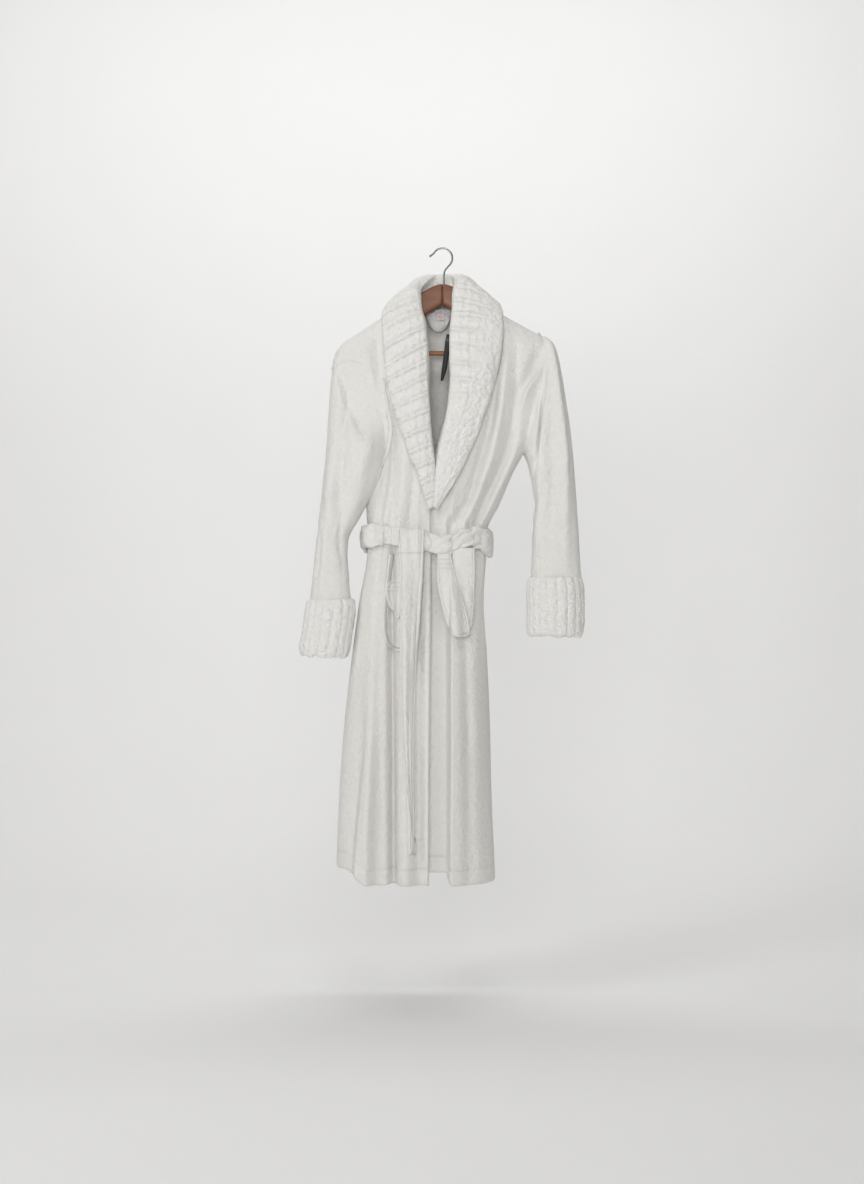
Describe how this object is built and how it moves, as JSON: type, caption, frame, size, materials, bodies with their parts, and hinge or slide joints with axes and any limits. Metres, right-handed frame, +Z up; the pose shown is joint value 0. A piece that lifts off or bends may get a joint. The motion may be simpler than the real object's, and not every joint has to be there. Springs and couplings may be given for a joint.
{
  "type": "bathrobe",
  "caption": "White pile-fabric bathrobe with shawl collar, turned-back cuffs and tied belt, hung on a wooden hanger with a swivel hook; sleeves and belt ends swing.",
  "frame": {"origin": "top of the inside of the hook, where it rests on a rail", "axes": "+Z up along the hook's shank, front of the robe faces -Y, the wearer's right side is at -X"},
  "size_m": [0.5619, 0.2111, 1.2596],
  "materials": {
    "terry_white": "short soft pile",
    "plush_white": "deep ribbed pile",
    "hanger_wood": "satin varnish",
    "bar_wood": "satin varnish",
    "hook_steel": "bright plated",
    "label_black": "satin weave",
    "label_white": "satin weave"
  },
  "bodies": {
    "hook": {"hook": "hook_steel"},
    "robe": {"hanger_right_arm": "hanger_wood", "hanger_left_arm": "hanger_wood", "bar_screw_right": "hook_steel", "bar_screw_left": "hook_steel", "trouser_bar": "bar_wood", "joint_dowel": "bar_wood", "back_panel": "terry_white", "right_front": "terry_white", "left_front": "terry_white", "right_collar": "plush_white", "left_collar": "plush_white", "belt_band": "terry_white", "belt_knot": "terry_white", "belt_end_short": "terry_white", "right_belt_loop": "terry_white", "left_belt_loop": "terry_white", "right_pocket": "terry_white", "neck_facing": "plush_white", "neck_label": "label_white"},
    "right_sleeve": {"right_sleeve": "terry_white", "right_cuff": "plush_white"},
    "left_sleeve": {"left_sleeve": "terry_white", "left_cuff": "plush_white"},
    "belt_tail": {"belt_tail_long": "terry_white"},
    "belt_bow": {"belt_bow_loop": "terry_white"},
    "swing_label": {"swing_label": "label_black"}
  },
  "joints": [
    {"name": "hanger_swivel", "type": "hinge", "parent": "hook", "child": "robe", "pos_m": [0.003, 0, -0.07], "axis": [0, 0, 1], "continuous": true},
    {"name": "right_sleeve_swing", "type": "hinge", "parent": "robe", "child": "right_sleeve", "pos_m": [-0.19, 0, -0.203], "axis": [0, 1, 0], "range_deg": [0, 65]},
    {"name": "left_sleeve_swing", "type": "hinge", "parent": "robe", "child": "left_sleeve", "pos_m": [0.195, 0, -0.195], "axis": [0, -1, 0], "range_deg": [0, 65]},
    {"name": "belt_tail_swing", "type": "hinge", "parent": "robe", "child": "belt_tail", "pos_m": [-0.061, -0.078, -0.562], "axis": [-1, 0, 0], "range_deg": [0, 60]},
    {"name": "belt_bow_swing", "type": "hinge", "parent": "robe", "child": "belt_bow", "pos_m": [0.025, -0.0685, -0.59], "axis": [-1, 0, 0], "range_deg": [0, 60]},
    {"name": "swing_label_swing", "type": "hinge", "parent": "robe", "child": "swing_label", "pos_m": [0.01, -0.0355, -0.176], "axis": [1, 0, 0], "range_deg": [0, 20]}
  ]
}
